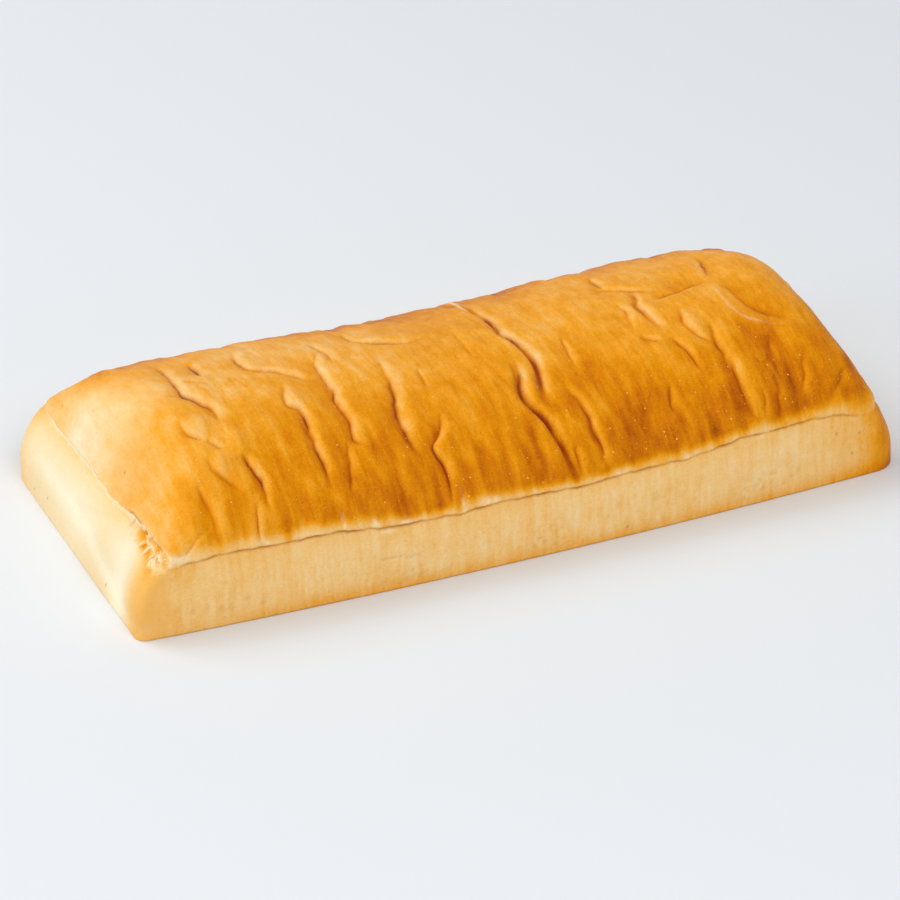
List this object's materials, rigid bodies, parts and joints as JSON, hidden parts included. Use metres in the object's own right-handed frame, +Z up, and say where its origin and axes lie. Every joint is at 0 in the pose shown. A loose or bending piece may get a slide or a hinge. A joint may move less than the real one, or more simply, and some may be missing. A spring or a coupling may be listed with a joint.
{
  "type": "white bread loaf",
  "caption": "Long, low white tin loaf with pale upright sides, a torn seam and a golden wrinkled dome.",
  "frame": {"origin": "middle of the flat base, at the level the loaf rests on", "axes": "+X along the loaf towards the end where the seam closes, +Y across it to the back, +Z up"},
  "size_m": [0.28, 0.132, 0.055],
  "materials": {
    "crust": null
  },
  "bodies": {
    "root": {"loaf": "crust"}
  },
  "joints": []
}
